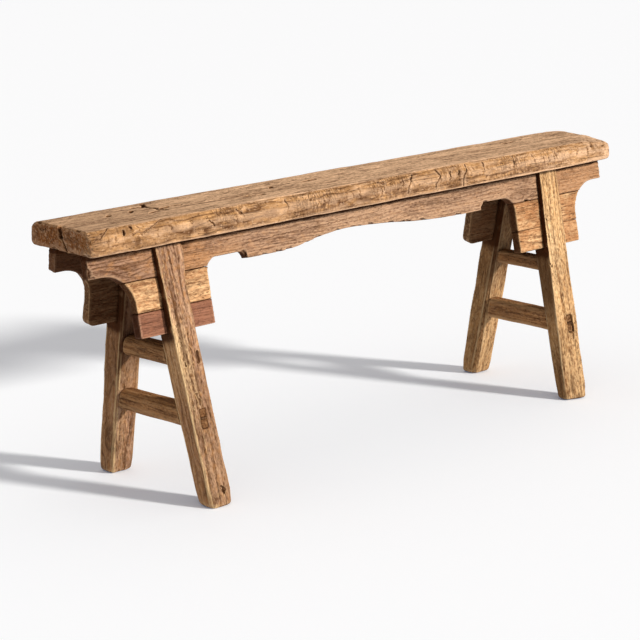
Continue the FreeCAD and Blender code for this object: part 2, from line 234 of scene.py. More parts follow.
    def seam_dirt_and_shade(self):
        """Marks dark joints and painted shade beside the other pieces, and how far off the nearest of them
        is.
        """
        seam_darkness = np.zeros(self.count)
        self.seam = np.full(self.count, np.inf)
        uneven = 1 + 0.6 * noise(self.places, (14, 14, 14), 977)
        for name, solid in solids.items():
            if name == self.node:
                continue
            reach, fade = self.seam_darkening_reach(name)
            held = uneven * (1 if "seat" in name else self.shelter)
            span = max(reach, 5.0) * MM
            low, high = [np.array(corner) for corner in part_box(name)]
            close = ((self.places > low - span) & (self.places < high + span)).all(axis=1)
            for number in np.flatnonzero(close):
                distance = solid.find_nearest(self.places[number], span)[3]
                if distance is not None:
                    self.seam[number] = min(self.seam[number], distance / MM)
                    seam_darkness[number] = max(seam_darkness[number], held[number] * (reach - distance / MM) / fade)
        self.marks["seam_dirt_and_shade"] = smooth_step(seam_darkness, 0, 1)

    def finish(self, material, bare=1.0):
        """Marks the rubbed arrises, keeps all the marks on the mesh and puts the piece in the bench."""
        self.seam_dirt_and_shade()
        plain = self.places
        for _ in range(8):
            plain = plain + EASE_STEP * (self.softened(plain) - plain)
        proud = ((self.places - plain) * self.normals()).sum(axis=1) / MM
        self.marks["rise"] = bare * smooth_step(proud, 0.06, 0.3) * smooth_step(self.seam, 1.5, 5.0)
        # every concave crease and recess is darkened: dirt with painted shade
        self.marks["hollow"] = np.maximum(self.marks["hollow"], smooth_step(-proud, 0.25, 1.2))
        self.write()
        mesh = self.piece.data
        for name, values in self.marks.items():
            mesh.attributes.new(name, "FLOAT", "POINT").data.foreach_set("value", values)
        grain = mesh.attributes.new("grain", "FLOAT_VECTOR", "POINT")
        grain.data.foreach_set("vector", self.grain.ravel())
        mesh.polygons.foreach_set("use_smooth", np.ones(len(mesh.polygons), bool))
        mesh.materials.clear()
        mesh.materials.append(material)
        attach(self.piece, "root")
        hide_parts(self.node)


class Wire:
    """A socket of a material's nodes; arithmetic on it adds Math nodes."""

    def __init__(self, tree, socket=None):
        self.tree = tree
        self.socket = socket

    def node(self, kind, settings, inputs, output=0):
        made = self.tree.nodes.new(kind)
        for name, value in settings.items():
            setattr(made, name, value)
        for name, value in inputs.items():
            if isinstance(value, Wire):
                self.tree.links.new(value.socket, made.inputs[name])
            else:
                made.inputs[name].default_value = value
        return Wire(self.tree, made.outputs[output])

    def math(self, operation, first, second=0.0, clamp=False):
        settings = {"operation": operation, "use_clamp": clamp}
        return self.node("ShaderNodeMath", settings, {0: first, 1: second})

    def __add__(self, other):
        return self.math("ADD", self, other)

    def __sub__(self, other):
        return self.math("SUBTRACT", self, other)

    def __rsub__(self, other):
        return self.math("SUBTRACT", other, self)

    def __mul__(self, other):
        return self.math("MULTIPLY", self, other)

    def __truediv__(self, other):
        return self.math("DIVIDE", self, other)

    def __pow__(self, other):
        return self.math("POWER", self, other)

    __radd__ = __add__
    __rmul__ = __mul__

    def within(self):
        return self.math("ADD", self, 0.0, clamp=True)

    def stretched(self, *scale):
        return self.node("ShaderNodeVectorMath", {"operation": "MULTIPLY"}, {0: self, 1: scale})

    def cloud(self, along, across, detail):
        """Noise with this many lumps a metre along the grain and across it, about 0.5 on average."""
        spread = self.stretched(along, across, across)
        return self.node("ShaderNodeTexNoise", {}, {"Vector": spread, "Scale": 1.0, "Detail": detail})

    def tint(self, share, under, over):
        """One colour laid over another by a share from 0 to 1."""
        return self.node("ShaderNodeMix", {"data_type": "RGBA", "clamp_factor": True},
                         {0: share, 6: under, 7: over}, 2)

    def lines(self, sharpness):
        """Thin dark lines along the middle level of a cloud."""
        return (1 - self.math("ABSOLUTE", self - 0.5) * sharpness).within()

    def mark(self, name):
        return self.node("ShaderNodeAttribute", {"attribute_name": name}, {}, "Fac")


# dark red brown for dirt and dark joints, and for painted shade in hollows, at seams and inside the bench
SOOT_AND_SHADE = (0.05, 0.0145, 0.004, 1)
GRIME = (0.085, 0.031, 0.010, 1)


def old_wood(name, pale, deep, warm, rubbed, end_tone, ring_width, gloss, figure=1.0, speckle=1.0,
             mottle=2.2, swirl=0.5, eddies=35, curl=10, fibres=2.4):
    """Waxed old wood: ring-porous figure, long fibres, pale rubbed arrises, dirt with painted shade in
    every hollow and at seams, and painted shade inside the bench.

    ring_width, eddies and curl are in mm; figure, speckle, mottle, swirl and fibres are strengths."""
    material = bpy.data.materials.new(name)
    material.use_nodes = True
    tree = material.node_tree
    shader = tree.nodes["Principled BSDF"]
    wire = Wire(tree)
    grain = wire.node("ShaderNodeAttribute", {"attribute_name": "grain"}, {}, "Vector")
    hollow = wire.mark("hollow")
    rise = wire.mark("rise")
    seam_dirt_and_shade = wire.mark("seam_dirt_and_shade")

    # rings, fibres and patches
    wander = grain.cloud(2.6, 14.0, 2.0) - 0.5
    ripple = grain.cloud(12.0, 45.0, 2.0) - 0.5
    across_grain = grain.stretched(0, 1, 1)
    from_pith = wire.node("ShaderNodeVectorMath", {"operation": "LENGTH"}, {0: across_grain}, "Value")
    ring = wire.math("FRACT", (from_pith + wander * (30 * MM) + ripple * (5 * MM)) / (ring_width * MM))
    early = (1 - ring) ** 4
    fibre = grain.cloud(16.0, 300.0, 1.0)
    streak = grain.cloud(2.2, 70.0, 3.0)
    blotch = grain.cloud(7.0, 22.0, 4.0)
    patina = grain.cloud(130.0, 250.0, 3.0)
    hue = grain.cloud(80.0, 150.0, 2.0)

    # checks, specks and curls
    broken = ((grain.cloud(11.0, 42.0, 3.0) - 0.47) * 9).within()
    checks = grain.cloud(5.0, 85.0, 3.0).lines(30) * broken
    creases = grain.cloud(34.0, 170.0, 2.0).lines(12)
    specks = ((grain.cloud(150.0, 330.0, 2.0) - 0.60) * 12).within()
    flecks = ((grain.cloud(170.0, 300.0, 2.0) - 0.57) * 9).within()
    crazing = grain.cloud(170.0, 55.0, 2.0).lines(13) * wire.mark("crazed")
    eddy = grain.cloud(13.0, 34.0, 1.0) - 0.5
    flow = wire.math("FRACT", (from_pith + wander * (45 * MM) + eddy * (eddies * MM)) / (curl * MM))
    curled = ((grain.cloud(6.0, 18.0, 2.0) - 0.40) * 5 + wire.mark("figured")).within()
    curls = flow.lines(5) * curled * (1 - 0.7 * wire.mark("weather"))

    # colours, each laid over the last
    tone = (0.30 + figure * (0.62 * early - 0.12) + fibres * (fibre - 0.5) + 1.3 * (streak - 0.5)
            + mottle * (patina - 0.5)).within()
    colour = wire.tint(tone, pale, deep)
    colour = wire.tint(((blotch - 0.5) * 4.0).within() * 0.7, colour, warm)
    colour = wire.tint(((0.5 - blotch) * 4.0).within() * 0.6, colour, deep)
    colour = wire.tint(((hue - 0.5) * 5).within() * 0.6, colour, warm)
    bleached = wire.tint((0.8 * tone + 0.8 * (0.5 - blotch)).within(), rubbed, deep)
    colour = wire.tint(wire.mark("weather") * (0.8 + 0.3 * patina), colour, bleached)
    bare_end = 0.78 + 1.4 * (blotch - 0.5) - 2.2 * (patina - 0.5)
    colour = wire.tint(wire.mark("endgrain") * bare_end, colour, end_tone)
    # warm tint: wax polish on the boards and seat, and a painted warm shade on the legs' side faces
    colour = wire.tint(wire.mark("polish_and_shade_warmth") * (0.2 + 0.6 * patina), colour, warm)
    colour = wire.tint(curls * swirl, colour, GRIME)
    colour = wire.tint(flecks * (speckle * 0.4), colour, rubbed)
    colour = wire.tint(checks * (speckle * 0.6), colour, GRIME)
    colour = wire.tint(creases * (speckle * (0.1 + 0.3 * broken)), colour, GRIME)
    colour = wire.tint(crazing * 0.65, colour, GRIME)
    colour = wire.tint(specks * (speckle * (0.3 + 0.6 * broken)), colour, GRIME)
    colour = wire.tint(rise * (0.45 + 0.7 * patina), colour, rubbed)
    # painted shade inside the bench, under the seat and on leg faces turned from the lamp, with some grime;
    # then dark joints and painted shade at seams, and dirt with painted shade in hollows
    colour = wire.tint(wire.mark("inner") * 0.85, colour, SOOT_AND_SHADE)
    colour = wire.tint(seam_dirt_and_shade * (0.35 + 0.6 * seam_dirt_and_shade), colour, SOOT_AND_SHADE)
    colour = wire.tint(hollow * 0.92, colour, SOOT_AND_SHADE)
    tree.links.new(colour.socket, shader.inputs["Base Color"])

    # gloss and relief
    roughness = gloss + 0.28 * fibre - 0.12 * rise + 0.3 * hollow + 0.2 * seam_dirt_and_shade + 0.3 * wire.mark("inner")
    tree.links.new(roughness.within().socket, shader.inputs["Roughness"])
    raised = 0.6 * fibre + 0.5 * patina
    sunk = 0.3 * early + 0.6 * checks + 0.4 * specks + 0.6 * crazing + 0.3 * creases + 0.3 * curls
    bump = wire.node("ShaderNodeBump", {}, {"Strength": 1.0, "Distance": 2.0 * MM, "Height": raised - sunk})
    tree.links.new(bump.socket, shader.inputs["Normal"])
    shader.inputs["Specular IOR Level"].default_value = 0.06
    return material


LEG_GRID = 1.4
HEAD_FLARE = 8
left_leg_wood = old_wood(
    "greyed_elm_left_legs", pale=(0.45, 0.265, 0.165, 1), deep=(0.105, 0.045, 0.020, 1),
    warm=(0.45, 0.212, 0.078, 1), rubbed=(0.85, 0.60, 0.32, 1), end_tone=(0.10, 0.045, 0.018, 1),
    ring_width=11.0, gloss=0.46, figure=1.1, speckle=0.55, mottle=2.9, swirl=0.8, eddies=40, curl=11,
    fibres=1.3)
right_leg_wood = old_wood(
    "golden_elm_right_legs", pale=(0.78, 0.50, 0.25, 1), deep=(0.18, 0.078, 0.030, 1),
    warm=(0.54, 0.28, 0.105, 1), rubbed=(0.84, 0.59, 0.33, 1), end_tone=(0.10, 0.045, 0.018, 1),
    ring_width=11.0, gloss=0.44, figure=0.75, speckle=0.75, mottle=2.7, fibres=1.2)


def leg_line(node):
    """The middle of a leg's foot and of its head just under the seat."""
    places = np.array([vert.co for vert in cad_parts[node].data.vertices])
    foot = places[places[:, 2] < 4 * MM].mean(axis=0)
    head = places[(places[:, 2] > 450 * MM) & (places[:, 2] < 460 * MM)].mean(axis=0)
    return foot, head


def arris(node, sideways, level, inset):
    """A point on a leg's outer face, at a height and so far in from one of its long edges, in mm."""
    places = np.array([vert.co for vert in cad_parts[node].data.vertices]) / MM
    outward = np.sign(places[:, 1].mean())
    ends = [places[np.abs(places[:, 2] - height) < 40] for height in (places[:, 2].min(), 445)]
    low, high = [end[np.argmax(end @ (sideways, outward, 0))] for end in ends]
    return low + (level - low[2]) / (high[2] - low[2]) * (high - low) - np.array((sideways * inset, 0, 0))


def nibbles(node, sideways, low, high, count, seed):
    """Small bites in a leg's outer face, just inside one of its long edges, between two heights in mm."""
    rng = np.random.default_rng(seed)
    bites = []
    for level in rng.uniform(low, high, count):
        inset = rng.uniform(2.5, 6.5)
        run = [arris(node, sideways, height, inset) for height in (level, level + rng.uniform(2, 8))]
        bites.append((run, rng.uniform(0.8, 1.6), rng.uniform(0.5, 1.2)))
    return bites


leg_flaws = {
    "front_left_leg": [
        ([(-458, -101, 262), (-457, -104, 250)], 6, 5),
        ([(-476, -118, 196), (-474, -121, 178)], 2.6, 2),
        ([(-461, -158, 36), (-457, -158, 34), (-454, -159, 28), (-458, -160, 23)], 2.6, 3.5),
        ([(-459, -158, 29), (-457, -159, 27)], 3.0, 4),
    ],
    "front_right_leg": [([(470, -130, 150), (469, -136, 120)], 1.4, 2)],
    "rear_left_leg": [([(-470, 120, 230), (-468, 128, 190)], 1.6, 2.5)],
    "rear_right_leg": [([(478, 112, 260), (477, 124, 210)], 1.6, 2.5)],
}
leg_flaws["front_left_leg"] += nibbles("front_left_leg", -1, 150, 370, 20, 3)
leg_flaws["front_right_leg"] += nibbles("front_right_leg", -1, 230, 420, 24, 4)
leg_flaws["front_right_leg"] += nibbles("front_right_leg", 1, 15, 150, 16, 5)
leg_flaws["rear_left_leg"] += nibbles("rear_left_leg", 1, 100, 400, 14, 6)
leg_flaws["rear_right_leg"] += nibbles("rear_right_leg", -1, 60, 380, 14, 7)
for number, (node, flaws) in enumerate(leg_flaws.items()):
    leg = Timber(node, LEG_GRID)
    foot, head = leg_line(node)
    leg.ease(1)
    leg.refine(flaws, 1)
    outward = (0, -1 if foot[1] < 0 else 1, 0)
    leg.lay_grain(head - foot, outward, (55, -40), 3.1 * number)
    leg.ease(60, smooth_step(-leg.places[:, 2], -30 * MM, -4 * MM))
    leg.rub(11 + 10 * number, 0.3, 0.9, 9)
    middle = foot[0] + leg.places[:, 2] / head[2] * (head[0] - foot[0])
    if node == "front_left_leg":
        # the outer cheek of this leg's head widens to the right
        cheek = smooth_step(-leg.places[:, 1], 0.050, 0.056)
        cheek *= smooth_step(leg.places[:, 0] - middle, 0, 20 * MM)
        leg.places[:, 0] += HEAD_FLARE * MM * cheek * smooth_step(leg.places[:, 2], 0.38, 0.44)
    leg.gouge(flaws, 2.2, 40 + number, 0.82)
    facing = leg.normals()
    height = leg.places[:, 2] / MM
    # painted shade: faces turned to the middle of the bench and faces turned left, away from the lamp, are
    # darkened below; the legs also get darker towards the foot, and the right front leg gets real stains
    turned = smooth_step(-facing @ np.array(outward), 0.3, 0.8)
    leftward = smooth_step(-facing[:, 0], 0.4, 0.8)
    if node == "front_left_leg":
        shade_and_grime = 0.3 * turned + 0.3 * (1 - smooth_step(height, 170, 280)) * (1 - 0.8 * leftward)
        shade_and_grime += 0.5 * leftward * smooth_step(height, 290, 350)
        # a dark band just in from the left arris, painted as a shadow
        low, high = [arris(node, -1, level, 8) for level in (240, 375)]
        groove = np.abs(leg.places[:, 0] / MM - np.interp(height, (240, 375), (low[0], high[0])))
        beside_arris = 1 - smooth_step(groove, 1.5, 5.0)
        beside_arris *= smooth_step(height, 225, 270) * (1 - smooth_step(height, 350, 400))
        shade_and_grime += 0.8 * beside_arris
    if node == "front_right_leg":
        shade_and_grime = 0.3 * (turned + 1 - smooth_step(height, 20, 130))
        stains = smooth_step(noise(leg.grain, (45, 12, 12), 58), 0.0, 0.5)
        shade_and_grime += 0.4 * stains * (1 - smooth_step(height, 120, 230)) * (1 - leftward)
        shade_and_grime += leftward * (0.4 + 0.5 * smooth_step(height, 130, 210))
    if node == "rear_left_leg":
        shade_and_grime = turned * (0.3 + 0.6 * smooth_step(height, 150, 250))
        shade_and_grime += leftward * (0.2 + 0.35 * smooth_step(height, 100, 220))
    if node == "rear_right_leg":
        shade_and_grime = turned * (0.36 - 0.1 * smooth_step(height, 60, 140) + 0.5 * smooth_step(height, 150, 250))
        shade_and_grime += leftward * (0.38 + 0.3 * smooth_step(height, 150, 250))
    leg.marks["inner"] = np.clip(shade_and_grime, 0, 1)
    # the side faces get a warmer tint, painted as the colour of shade
    leg.marks["polish_and_shade_warmth"] = smooth_step(np.abs(facing[:, 0]), 0.5, 0.9)
    patches = smooth_step(noise(leg.grain, (150, 22, 22), 55 + number), -0.4, 0.4)
    handled = (1 - smooth_step(height, 320, 380)) * (0.25 + 0.75 * smooth_step(height, 150, 240))
    leg.marks["weather"] = 0.45 * patches * handled
    leg.shelter = smooth_step(np.abs(facing[:, 0]), 0.3, 0.7)
    bare = 0.3 + 0.7 * smooth_step(middle - leg.places[:, 0], 0, 8 * MM)
    bare *= 1 - 0.7 * smooth_step(height, 350, 400)
    leg.finish(left_leg_wood if "left" in node else right_leg_wood, bare)

# Stretchers
# Two bars of elm tie each pair of legs. The lower ones pass through the legs and are wedged there; the
# upper ones stop short inside. Their edges are planed round and their sides have gone grey brown.

STRETCHER_GRID = 1.7
stretcher_wood = old_wood(
    "dull_elm_stretchers", pale=(0.40, 0.20, 0.084, 1), deep=(0.13, 0.057, 0.023, 1),
    warm=(0.42, 0.195, 0.068, 1), rubbed=(0.48, 0.28, 0.135, 1), end_tone=(0.12, 0.052, 0.02, 1),
    ring_width=8.0, gloss=0.5, swirl=0.35, eddies=20)
# the upper stretchers are darkened as painted shade under the seat and boards; the tenon ends are darkened
# a little too
stretcher_shade = {
    "left_lower_stretcher": 0.0,
    "left_upper_stretcher": 0.22,
    "right_lower_stretcher": 0.0,
    "right_upper_stretcher": 0.3,
}
for number, (node, shade_and_grime) in enumerate(stretcher_shade.items()):
    bar = Timber(node, STRETCHER_GRID)
    bar.ease(1)
    bar.lay_grain((0, 1, 0), (1, 0, 0), (40, -40), 13 + 2.3 * number)
    bar.rub(71 + 10 * number, 0.2, 0.6, 8)
    tenon_end = smooth_step(np.abs(bar.normals()[:, 1]), 0.6, 0.9)
    bar.marks["inner"] = shade_and_grime + 0.28 * tenon_end
    bar.finish(stretcher_wood)

# Wedges
# Thin slips of hard dark wood, split along the grain and driven into the ends of the lower stretchers
# so that the tenons spread and hold in the legs.

WEDGE_GRID = 0.7
wedge_wood = old_wood(
    "dark_wedge_wood", pale=(0.20, 0.105, 0.05, 1), deep=(0.08, 0.04, 0.02, 1),
    warm=(0.22, 0.11, 0.045, 1), rubbed=(0.30, 0.17, 0.09, 1), end_tone=(0.07, 0.035, 0.016, 1),
    ring_width=3.0, gloss=0.5)
wedges = ("front_left_wedge", "front_right_wedge", "rear_left_wedge", "rear_right_wedge")
for number, node in enumerate(wedges):
    slip = Timber(node, WEDGE_GRID)
    slip.ease(2)
    slip.lay_grain((0, 1, 0), (0, 0, 1), (0, -12), 29 + 1.7 * number)
    slip.rub(131 + 5 * number, 0.08, 0.1, 2)
    slip.finish(wedge_wood)

# Aprons
# A long board under each edge of the seat, its lower edge sawn to cusps and a slow double curve. It lies
# in the forks of the legs, a shadow's breadth below the plank. Weathered to a pinkish brown.

BOARD_GRID = 1.7
INWARD = {"front": (0, 1, 0), "rear": (0, -1, 0)}
apron_wood = old_wood(
    "weathered_apron_board", pale=(0.352, 0.203, 0.126, 1), deep=(0.11, 0.048, 0.026, 1),
    warm=(0.44, 0.215, 0.09, 1), rubbed=(0.52, 0.335, 0.21, 1), end_tone=(0.15, 0.06, 0.023, 1),
    ring_width=5.0, gloss=0.5, figure=0.9, speckle=0.6, swirl=0.95, eddies=40, curl=11, fibres=1.5)


def turned_in(board, face):
    """Darkens what faces the middle of the bench: painted shade inside the bench, and wood there that was
    never waxed and has gone dark.
    """
    inward = board.normals() @ np.array(INWARD[face])
    edges = 0.9 if face == "front" else 0.35
    board.marks["inner"] = edges * smooth_step(inward, -0.7, -0.3)
    board.marks["inner"] += (1 - edges) * smooth_step(inward, 0.2, 0.7)
    board.marks["inner"] *= 0.9 if "rear_right" in board.node else 1.0


def edge_chips(board, spots):
    """Chips out of a board's lower outer edge at these places along it, in mm."""
    chips = []
    for spot in spots:
        close = board.places[np.abs(board.places[:, 0] / MM - spot) < 3] / MM
        outer = close[np.abs(close[:, 1]) > np.abs(close[:, 1]).max() - 3]
        low = outer[outer[:, 2].argmin()]
        chips.append(([low - (4, 0, 0), low + (3, 0, 0)], 4.2, 3.0))
    return chips


apron_flaws = {
    "front": [([(-300, -54, 425), (-180, -54, 429), (-60, -53, 431)], 1.0, 1.0)],
    "rear": [([(-641, 62, 441), (-600, 63, 436), (-560, 64, 434)], 1.4, 3)],
}
large_chips = [-226, -81, 48, 77, 130]
left_end_chips = {
    "front": [
        ([(-641, -49, 429), (-641, -51, 421)], 5.0, 3.5),
        ([(-641, -53, 413), (-632, -53, 412)], 5.0, 4.0),
    ],
    "rear": [],
}
for number, (face, flaws) in enumerate(apron_flaws.items()):
    board = Timber(face + "_apron", BOARD_GRID)
    board.ease(1)
    board.refine(flaws, 1)
    more_chips = np.random.default_rng(17 + number).uniform(-320, 420, 14)
    chips = edge_chips(board, [*large_chips, *more_chips]) + left_end_chips[face]
    board.lay_grain((1, 0, 0), INWARD[face], (-95, 60), 41 + 5.3 * number)
    board.rub(171 + 10 * number, 0.3, 0.6, 4)
    board.gouge(flaws, 1.5, 190 + number)
    board.gouge(chips, 2.5, 195 + number, 0.4)
    turned_in(board, face)
    along = board.places[:, 0]
    board.marks["polish_and_shade_warmth"] = smooth_step(along, 0.44, 0.52)
    board.marks["polish_and_shade_warmth"] += smooth_step(along, -0.48, -0.46) * (1 - smooth_step(along, -0.41, -0.37))
    board.marks["weather"] = 0.6 * smooth_step(along, -0.5, -0.1)
    board.finish(apron_wood, 0.5)

# Spandrels
# Short boards that carry the apron's curve down past the legs, one on each side of a leg head. They meet
# the apron edge to edge on hidden bamboo pins. Golden and waxed outside; those at the rear are one piece.

spandrel_wood = old_wood(
    "golden_spandrel_board", pale=(0.76, 0.475, 0.25, 1), deep=(0.175, 0.075, 0.031, 1),
    warm=(0.44, 0.20, 0.082, 1), rubbed=(0.68, 0.44, 0.23, 1), end_tone=(0.14, 0.07, 0.03, 1),
    ring_width=10.0, gloss=0.46, figure=0.8, swirl=0.55, eddies=45, curl=12, fibres=1.5)
spandrels = ("front_left_spandrel", "front_right_spandrel", "front_right_spandrel_patch",
             "rear_left_spandrel", "rear_right_spandrel")
for number, node in enumerate(spandrels):
    face = node.split("_")[0]
    board = Timber(node, BOARD_GRID)
    board.ease(1)
    board.lay_grain((1, 0, 0), INWARD[face], (-60, 45), 61 + 3.7 * number)
    board.rub(211 + 10 * number, 0.22, 0.5, 6)
    turned_in(board, face)
    handled = smooth_step(noise(board.places, (28, 28, 16), 215 + number), -0.35, 0.35)
    board.marks["polish_and_shade_warmth"] = handled * (1.5 if "right" in node else 0.5)
    board.marks["inner"] += 0.1 if "front_right" in node else 0.0
    board.finish(spandrel_wood, 0.5)

# Spandrel patch
# The foot of the left front spandrel was lost and made good with a newer, reddish brown hardwood, which
# has finer grain and crisper corners than the old boards above it.

patch_wood = old_wood(
    "reddish_patch_wood", pale=(0.295, 0.134, 0.081, 1), deep=(0.17, 0.072, 0.044, 1),
    warm=(0.29, 0.12, 0.066, 1), rubbed=(0.38, 0.20, 0.125, 1), end_tone=(0.09, 0.036, 0.02, 1),
    ring_width=3.5, gloss=0.48, figure=0.5, speckle=0.4, mottle=1.6, swirl=0.15, eddies=10)
patch = Timber("front_left_spandrel_patch", BOARD_GRID)
patch.ease(1)
patch.lay_grain((1, 0, 0), INWARD["front"], (20, 70), 83)
patch.rub(271, 0.12, 0.25, 2)
turned_in(patch, "front")
patch.finish(patch_wood)

# Bamboo pins
# Split bamboo, pointed at both ends, sits across every joint between apron, spandrel and patch. The pins
# are wholly inside the boards.

bamboo = bpy.data.materials.new("dry_bamboo")
bamboo.use_nodes = True
bamboo_wire = Wire(bamboo.node_tree)
place = bamboo_wire.node("ShaderNodeTexCoord", {}, {}, "Object")
fibres = place.node("ShaderNodeTexNoise", {},
                    {"Vector": place.stretched(2600, 2600, 60), "Scale": 1.0, "Detail": 2.0})
bamboo_tone = bamboo_wire.tint(fibres, (0.55, 0.42, 0.20, 1), (0.36, 0.25, 0.10, 1))
bamboo_shader = bamboo.node_tree.nodes["Principled BSDF"]
bamboo.node_tree.links.new(bamboo_tone.socket, bamboo_shader.inputs["Base Color"])
bamboo_shader.inputs["Roughness"].default_value = 0.6
for corner in ("front_left", "front_right", "rear_left", "rear_right"):
    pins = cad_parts[corner + "_bamboo_pins"]
    pins.data.materials.clear()
    pins.data.materials.append(bamboo)

# Seat plank
# One thick slab of elm. Its front edge is worn to a broad golden bevel full of cross checks, the rear is
# a bullnose, the right end is worn down, and the left end grain is split. It is mortised over the legs.

SEAT_GRID = 3.3
FRONT_EDGE = -81
BEVEL_FOOT = 480
BEVEL_RISE = 20
BEVEL_DEPTH = 12
seat_wood = old_wood(
    "worn_elm_seat", pale=(0.45, 0.262, 0.138, 1), deep=(0.16, 0.075, 0.033, 1),
    warm=(0.52, 0.28, 0.112, 1), rubbed=(0.79, 0.52, 0.33, 1), end_tone=(0.215, 0.069, 0.011, 1),
    ring_width=10.0, gloss=0.44, mottle=2.7, swirl=0.85, eddies=55, curl=17, fibres=1.5)
end_splits = [
    ([(-650, 6, 500), (-656, 6, 492), (-656, 4, 483)], 6.0, 16),
    ([(-656, 4, 484), (-656, -2, 474), (-656, -9, 463), (-656, -12, 458)], 2.6, 8),
    ([(-656, 47, 498), (-656, 49, 484)], 1.5, 2.5),
    ([(-656, 66, 486), (-656, 48, 489)], 1.2, 2),
]
# from left to right along the front edge
front_checks = [
    ([(-656, -75, 481), (-634, -79, 487), (-615, -71, 498), (-611, -69, 500)], 1.1, 2),
    ([(-583, -75, 493), (-585, -78, 487)], 3.2, 6),
    ([(-567, -73, 496), (-568, -74, 494)], 2.4, 4),
    ([(-570, -79, 485), (-539, -79, 486), (-519, -75, 493), (-499, -70, 499)], 0.9, 1),
    ([(-559, -81, 475), (-561, -81, 468)], 5.5, 1.2),
    ([(-404, -80, 484), (-394, -81, 475)], 1.6, 2),
    ([(-340, -75, 493), (-330, -79, 486)], 2.2, 2),
    ([(-228, -74, 494), (-226, -81, 482)], 1.2, 2),
    ([(85, -72, 497), (78, -78, 488), (71, -81, 478), (69, -81, 465)], 1.3, 3),
    ([(145, -71, 498), (155, -78, 487), (141, -81, 474), (140, -81, 462)], 1.4, 3),
    ([(183, -76, 491), (178, -81, 475)], 1.3, 2.5),
    ([(204, -77, 491), (202, -81, 479)], 1.4, 2.5),
    ([(227, -71, 498), (226, -78, 488), (215, -81, 476), (215, -81, 460)], 1.5, 3),
    ([(274, -73, 496), (272, -80, 482)], 1.5, 2.5),
    ([(359, -72, 497), (355, -80, 483)], 1.3, 2.5),
    ([(600, -49, 490), (590, -62, 488), (583, -77, 486)], 1.6, 2),
    ([(634, -61, 487), (616, -76, 483)], 1.4, 1.5),
]
top_pits = [
    ([(-551, 14, 500), (-543, 20, 500)], 4.2, 4),
    ([(-504, 13, 500), (-495, 22, 500)], 4.5, 5),
    ([(-445, 58, 500), (-456, 36, 500), (-453, 22, 500), (-451, 4, 500), (-446, -12, 500)], 4.8, 8),
    ([(-476, 43, 500), (-456, 35, 500)], 4.5, 5),
    ([(-447, 2, 500), (-425, 8, 500), (-404, 4, 500)], 4.5, 6),
    ([(-480, -14, 500), (-462, -9, 500)], 4.0, 4),
    ([(-276, -18, 500), (-258, -27, 500), (-239, -30, 500)], 4.5, 6),
    ([(-188, 10, 500), (-182, 18, 500)], 5.0, 5),
    ([(-112, 12, 500), (-78, 16, 500)], 4.0, 4),
    ([(446, 34, 500), (477, 38, 500)], 4.5, 3),
    ([(529, 11, 500), (541, 8, 500)], 4.5, 4),
]
end_chips = [
    ([(-656, -66, 456), (-656, -56, 456)], 4.0, 3.0),
    ([(-656, -30, 456), (-656, -24, 456)], 3.5, 2.5),
    ([(-656, 18, 456), (-656, 31, 456)], 4.0, 3.0),
    ([(-656, 62, 500), (-656, 70, 500)], 3.5, 3.0),
    ([(-656, -50, 500), (-656, -42, 500)], 3.0, 2.5),
]
# small cross checks scattered over the bevel
nicks = np.random.default_rng(5)
chatter = []
for x in nicks.uniform(-620, 600, 70):
    top = nicks.uniform(484, 500)
    bottom = top - nicks.uniform(5, 17)
    skew = nicks.uniform(-6, 6)
    inset = [BEVEL_DEPTH * np.clip((level - BEVEL_FOOT) / BEVEL_RISE, 0, 1) for level in (top, bottom)]
    run = [(x, FRONT_EDGE + inset[0], top), (x + skew, FRONT_EDGE + inset[1], bottom)]
    chatter.append((run, nicks.uniform(0.8, 1.3), nicks.uniform(0.6, 1.4)))
# edges that are only meshed finer, with no depth
crisp_edges = [
    ([(-656, -81, 456), (-656, -81, 480), (-656, -69, 500)], 3, 0),
    ([(-656, -69, 500), (-656, 95, 500)], 3, 0),
    ([(-656, -81, 456), (560, -81, 456)], 2, 0),
    ([(-656, -69, 500), (560, -69, 500)], 3, 0),
]
seat = Timber("seat_plank", SEAT_GRID)
seat.refine(end_splits + front_checks + top_pits, 2)
seat.refine(chatter + crisp_edges, 1)
seat.snap()
seat.ease(1)
seat.lay_grain((1, 0, 0), (0, 0, -1), (45, 60), 97)
seat.rub(301, 0.3, 0.9, 3)
seat.gouge(end_splits, 2.0, 330)
seat.gouge(front_checks, 1.5, 430, 0.9)
seat.gouge(top_pits, 2.5, 530, 0.95)
seat.gouge(chatter, 4.0, 630, 0.7)
seat.gouge(end_chips, 2.5, 730, 0.5)

# the front arris is bitten and broken
upward = seat.normals()[:, 2]
front = smooth_step(-seat.places[:, 1], 0.055, 0.065)
brow = front * smooth_step(upward, 0.6, 0.75) * (1 - smooth_step(upward, 0.93, 0.99))
bites = noise(seat.places, (18, 9, 9), 345) + 0.6 * noise(seat.places, (6, 5, 5), 346)
bitten = smooth_step(bites, 0.0, 0.7) * smooth_step(seat.places[:, 0], -0.52, -0.36)
seat.push(-1.5 * brow * bitten)
seat.marks["hollow"] = np.maximum(seat.marks["hollow"], 0.5 * brow * bitten)

# the worn right end is rounded over and rough, a little higher in its middle
at_right = smooth_step(seat.places[:, 0], 0.54, 0.63) * smooth_step(seat.places[:, 2], 0.474, 0.482)
seat.ease(18, at_right)
crown = smooth_step(seat.places[:, 1], -0.05, 0.0) * (1 - smooth_step(seat.places[:, 1], 0.05, 0.09))
seat.places[:, 2] += 3.0 * MM * crown * at_right * smooth_step(seat.places[:, 0], 0.618, 0.65)
rough = 0.6 * noise(seat.places, (11, 11, 11), 347) + 0.3 * noise(seat.places, (6, 6, 6), 348)
seat.push(at_right * rough)

